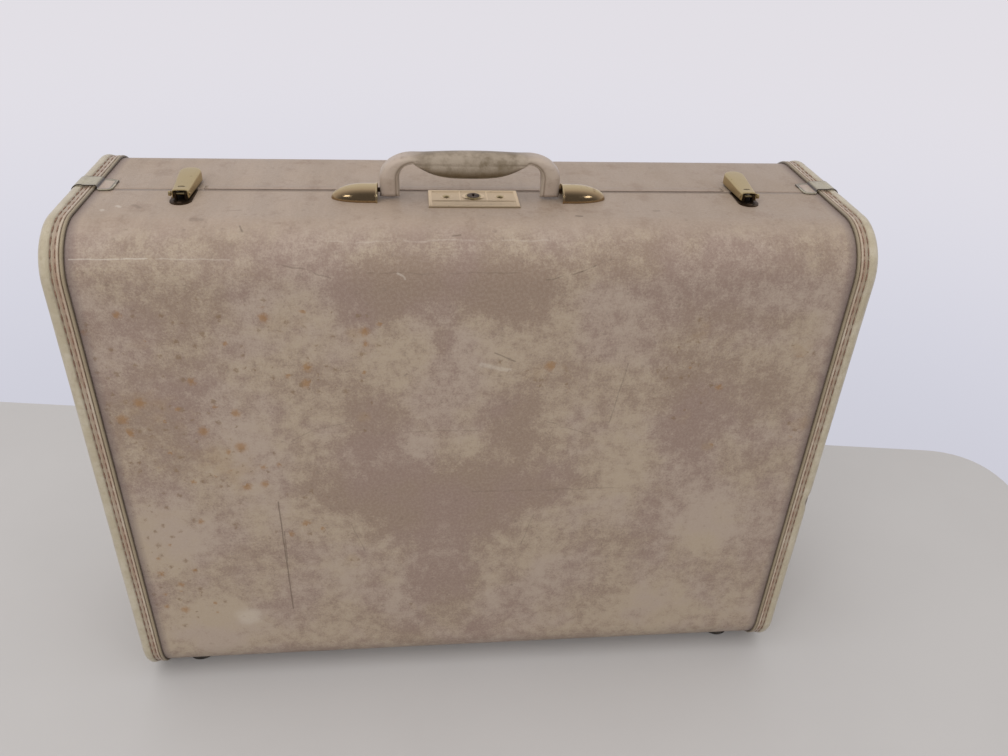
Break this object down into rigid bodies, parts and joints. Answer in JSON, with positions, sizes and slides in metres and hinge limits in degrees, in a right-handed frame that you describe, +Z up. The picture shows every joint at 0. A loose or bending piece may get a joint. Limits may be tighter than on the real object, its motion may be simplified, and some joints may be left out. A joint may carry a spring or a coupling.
{
  "type": "hard-sided travel case",
  "caption": "Hinged hard-sided travel case with stitched end bindings, snap latches, a centre lock and a padded swing handle, standing on its hinge side.",
  "frame": {"origin": "middle of the case's width and depth, on the plane that its feet stand on", "axes": "+Z up as it stands on its hinge side, X along its width, -Y towards the front half that carries the handle"},
  "size_m": [0.6118, 0.2014, 0.494],
  "materials": {
    "leatherette": "worn, mottled, satin",
    "binding": "worn rolled edge",
    "piping": "satin",
    "grip": "worn, satin",
    "fibreboard": "pressed fibre",
    "plywood": "raw",
    "lining": "woven",
    "elastic": "ribbed",
    "strap": "ribbed",
    "rubber": "matt",
    "polished_brass": "polished",
    "aged_brass": "dull, aged",
    "dark_brass": "dark patina",
    "steel": "plated"
  },
  "bodies": {
    "base": {"front_board": "fibreboard", "front_cover": "leatherette", "front_end_board_left": "plywood", "front_end_board_right": "plywood", "front_end_cover_left": "leatherette", "front_end_cover_right": "leatherette", "front_binding_left": "binding", "front_binding_right": "binding", "front_piping_left": "piping", "front_piping_right": "piping", "front_lining": "lining", "front_frame": "steel", "front_feet": "rubber", "front_rivets": "aged_brass", "handle_cap_left": "polished_brass", "handle_cap_right": "polished_brass", "handle_brackets": "steel", "handle_pins": "steel", "lock_plate": "aged_brass", "lock_rivets": "aged_brass", "lock_case": "steel", "latch_plate_left": "dark_brass", "latch_plate_right": "dark_brass", "latch_pins": "aged_brass", "hinge_leaves_front": "dark_brass", "hinge_pins": "steel", "straps_upper": "strap", "straps_lower": "strap", "strap_buckles": "aged_brass", "strap_anchors": "aged_brass"},
    "lid": {"back_board": "fibreboard", "back_cover": "leatherette", "back_end_board_left": "plywood", "back_end_board_right": "plywood", "back_end_cover_left": "leatherette", "back_end_cover_right": "leatherette", "back_binding_left": "binding", "back_binding_right": "binding", "back_piping_left": "piping", "back_piping_right": "piping", "back_lining": "lining", "back_frame": "steel", "edge_band": "leatherette", "binding_clips": "aged_brass", "back_feet": "rubber", "back_rivets": "aged_brass", "hinge_leaves_back": "dark_brass", "latch_catches": "dark_brass", "lock_staple": "steel", "lid_pocket": "lining", "pocket_elastic": "elastic"},
    "handle": {"handle_grip": "grip", "handle_core": "steel"},
    "latch_left": {"latch_lever_left": "aged_brass"},
    "latch_right": {"latch_lever_right": "aged_brass"},
    "lock_cylinder": {"lock_cylinder": "aged_brass"},
    "lock_bolt": {"lock_bolt": "steel"}
  },
  "joints": [
    {"name": "lid_hinge", "type": "hinge", "parent": "base", "child": "lid", "pos_m": [0, -0.007, 0.0032], "axis": [-1, 0, 0], "range_deg": [0, 100]},
    {"name": "handle_swing", "type": "hinge", "parent": "base", "child": "handle", "pos_m": [-0.0024, -0.0226, 0.4635], "axis": [1, 0, 0], "range_deg": [-68, 68]},
    {"name": "latch_left_lift", "type": "hinge", "parent": "base", "child": "latch_left", "pos_m": [-0.219, -0.0288, 0.462], "axis": [1, 0, 0], "range_deg": [0, 90]},
    {"name": "latch_right_lift", "type": "hinge", "parent": "base", "child": "latch_right", "pos_m": [0.219, -0.0288, 0.462], "axis": [1, 0, 0], "range_deg": [0, 90]},
    {"name": "lock_turn", "type": "hinge", "parent": "base", "child": "lock_cylinder", "pos_m": [0, -0.0221, 0.458], "axis": [0, 0, 1], "range_deg": [0, 90]},
    {"name": "bolt_slide", "type": "slide", "parent": "base", "child": "lock_bolt", "axis": [-1, 0, 0], "range_m": [0, 0.00453]}
  ],
  "couplings": [
    {"joint": "bolt_slide", "follows": "lock_turn", "m_per_rad": 0.002881}
  ]
}
